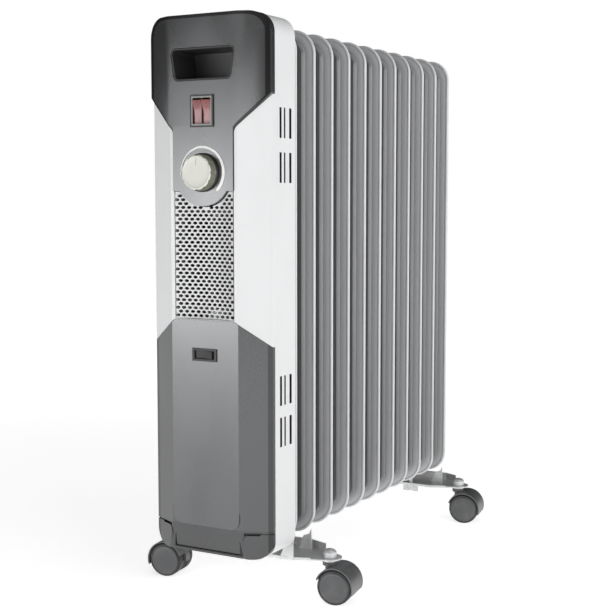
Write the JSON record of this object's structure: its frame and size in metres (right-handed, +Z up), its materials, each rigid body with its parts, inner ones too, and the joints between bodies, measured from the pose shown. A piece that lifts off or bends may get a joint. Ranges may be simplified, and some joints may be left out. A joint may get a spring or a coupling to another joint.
{
  "type": "oil filled radiator heater",
  "caption": "Upright oil filled radiator with a row of pressed fins, a front control housing with a thermostat knob, rocker switches and a fan grille, on swivel casters.",
  "frame": {"origin": "on the floor under the centre of the bounding box", "axes": "+Z up; -Y out of the control housing's front; +X to the right seen from the front"},
  "size_m": [0.275, 0.5329, 0.642],
  "materials": {
    "fin_enamel": "light grey satin enamel",
    "white_plastic": "white satin moulding",
    "charcoal_plastic": "charcoal satin lacquer",
    "black_plastic": "fine matte grain",
    "grille_plate": "silver paint",
    "scale_print": "white ink",
    "ivory_plastic": "ivory satin moulding",
    "red_rocker": "translucent red moulding",
    "zinc_steel": "bright zinc plate",
    "galvanised_sheet": "spangled zinc",
    "heater_wire": "oxidised steel",
    "brass": "turned",
    "ceramic_plastic": "off-white moulding",
    "wheel_plastic": "grey wheel with dark tread"
  },
  "bodies": {
    "heater": {"fin_01": "fin_enamel", "fin_02": "fin_enamel", "fin_03": "fin_enamel", "fin_04": "fin_enamel", "fin_05": "fin_enamel", "fin_06": "fin_enamel", "fin_07": "fin_enamel", "fin_08": "fin_enamel", "fin_09": "fin_enamel", "fin_10": "fin_enamel", "fin_11": "fin_enamel", "header_collars": "fin_enamel", "header_end_caps": "fin_enamel", "heating_elements": "heater_wire", "heat_shield": "fin_enamel", "front_cover": "white_plastic", "upper_panel": "charcoal_plastic", "lower_panel": "charcoal_plastic", "fan_grille": "grille_plate", "handle_cup": "black_plastic", "dial_scale": "scale_print", "thermostat_body": "black_plastic", "power_switch_frame": "black_plastic", "fan_switch_frame": "black_plastic", "fan_casing": "galvanised_sheet", "fan_motor": "zinc_steel", "fan_heater": "heater_wire", "tilt_switch_body": "black_plastic", "thermal_cutout": "galvanised_sheet", "terminal_block": "ceramic_plastic", "cord_gland": "black_plastic", "cover_screws": "zinc_steel", "front_foot": "zinc_steel", "rear_foot": "zinc_steel", "foot_u_bolts": "zinc_steel", "foot_wing_nuts": "zinc_steel", "caster_stems": "zinc_steel"},
    "thermostat_knob": {"knob": "ivory_plastic", "thermostat_shaft": "zinc_steel"},
    "left_power_rocker": {"power_rocker_left": "red_rocker"},
    "right_power_rocker": {"power_rocker_right": "red_rocker"},
    "fan_speed_rocker": {"fan_rocker": "black_plastic"},
    "fan_wheel": {"fan_impeller": "galvanised_sheet"},
    "tilt_weight": {"tilt_pendulum": "brass"},
    "front_right_caster": {"front_right_hood": "black_plastic", "front_right_caster_axle": "zinc_steel"},
    "front_right_near_wheel": {"front_right_wheel_near": "wheel_plastic"},
    "front_right_far_wheel": {"front_right_wheel_far": "wheel_plastic"},
    "front_left_caster": {"front_left_hood": "black_plastic", "front_left_caster_axle": "zinc_steel"},
    "front_left_near_wheel": {"front_left_wheel_near": "wheel_plastic"},
    "front_left_far_wheel": {"front_left_wheel_far": "wheel_plastic"},
    "rear_right_caster": {"rear_right_hood": "black_plastic", "rear_right_caster_axle": "zinc_steel"},
    "rear_right_near_wheel": {"rear_right_wheel_near": "wheel_plastic"},
    "rear_right_far_wheel": {"rear_right_wheel_far": "wheel_plastic"},
    "rear_left_caster": {"rear_left_hood": "black_plastic", "rear_left_caster_axle": "zinc_steel"},
    "rear_left_near_wheel": {"rear_left_wheel_near": "wheel_plastic"},
    "rear_left_far_wheel": {"rear_left_wheel_far": "wheel_plastic"}
  },
  "joints": [
    {"name": "thermostat_turn", "type": "hinge", "parent": "heater", "child": "thermostat_knob", "pos_m": [0, -0.252, 0.4759], "axis": [0, 1, 0], "range_deg": [0, 270]},
    {"name": "left_power_press", "type": "hinge", "parent": "heater", "child": "left_power_rocker", "pos_m": [-0.00575, -0.2462, 0.5407], "axis": [1, 0, 0], "range_deg": [-16, 0]},
    {"name": "right_power_press", "type": "hinge", "parent": "heater", "child": "right_power_rocker", "pos_m": [0.00575, -0.2462, 0.5407], "axis": [1, 0, 0], "range_deg": [-16, 0]},
    {"name": "fan_switch_press", "type": "hinge", "parent": "heater", "child": "fan_speed_rocker", "pos_m": [0, -0.2446, 0.281], "axis": [0, 0, -1], "range_deg": [-16, 0]},
    {"name": "fan_spin", "type": "hinge", "parent": "heater", "child": "fan_wheel", "pos_m": [0, -0.2146, 0.383], "axis": [0, 0, 1], "continuous": true},
    {"name": "tilt_swing", "type": "hinge", "parent": "heater", "child": "tilt_weight", "pos_m": [0.044, -0.2156, 0.132], "axis": [0, 1, 0], "range_deg": [-12, 12]},
    {"name": "front_right_swivel", "type": "hinge", "parent": "heater", "child": "front_right_caster", "pos_m": [0.102, -0.1551, 0.04], "axis": [0, 0, 1], "continuous": true},
    {"name": "front_right_near_roll", "type": "hinge", "parent": "front_right_caster", "child": "front_right_near_wheel", "pos_m": [0.11289, -0.15357, 0.02], "axis": [-0.1392, 0.9903, 0], "continuous": true},
    {"name": "front_right_far_roll", "type": "hinge", "parent": "front_right_caster", "child": "front_right_far_wheel", "pos_m": [0.11289, -0.15357, 0.02], "axis": [-0.1392, 0.9903, 0], "continuous": true},
    {"name": "front_left_swivel", "type": "hinge", "parent": "heater", "child": "front_left_caster", "pos_m": [-0.102, -0.1551, 0.04], "axis": [0, 0, 1], "continuous": true},
    {"name": "front_left_near_roll", "type": "hinge", "parent": "front_left_caster", "child": "front_left_near_wheel", "pos_m": [-0.11289, -0.15663, 0.02], "axis": [-0.1392, 0.9903, 0], "continuous": true},
    {"name": "front_left_far_roll", "type": "hinge", "parent": "front_left_caster", "child": "front_left_far_wheel", "pos_m": [-0.11289, -0.15663, 0.02], "axis": [-0.1392, 0.9903, 0], "continuous": true},
    {"name": "rear_right_swivel", "type": "hinge", "parent": "heater", "child": "rear_right_caster", "pos_m": [0.093, 0.2404, 0.04], "axis": [0, 0, 1], "continuous": true},
    {"name": "rear_right_near_roll", "type": "hinge", "parent": "rear_right_caster", "child": "rear_right_near_wheel", "pos_m": [0.10383, 0.24231, 0.02], "axis": [-0.1736, 0.9848, 0], "continuous": true},
    {"name": "rear_right_far_roll", "type": "hinge", "parent": "rear_right_caster", "child": "rear_right_far_wheel", "pos_m": [0.10383, 0.24231, 0.02], "axis": [-0.1736, 0.9848, 0], "continuous": true},
    {"name": "rear_left_swivel", "type": "hinge", "parent": "heater", "child": "rear_left_caster", "pos_m": [-0.093, 0.2404, 0.04], "axis": [0, 0, 1], "continuous": true},
    {"name": "rear_left_near_roll", "type": "hinge", "parent": "rear_left_caster", "child": "rear_left_near_wheel", "pos_m": [-0.10383, 0.24231, 0.02], "axis": [0.1736, 0.9848, 0], "continuous": true},
    {"name": "rear_left_far_roll", "type": "hinge", "parent": "rear_left_caster", "child": "rear_left_far_wheel", "pos_m": [-0.10383, 0.24231, 0.02], "axis": [0.1736, 0.9848, 0], "continuous": true}
  ]
}
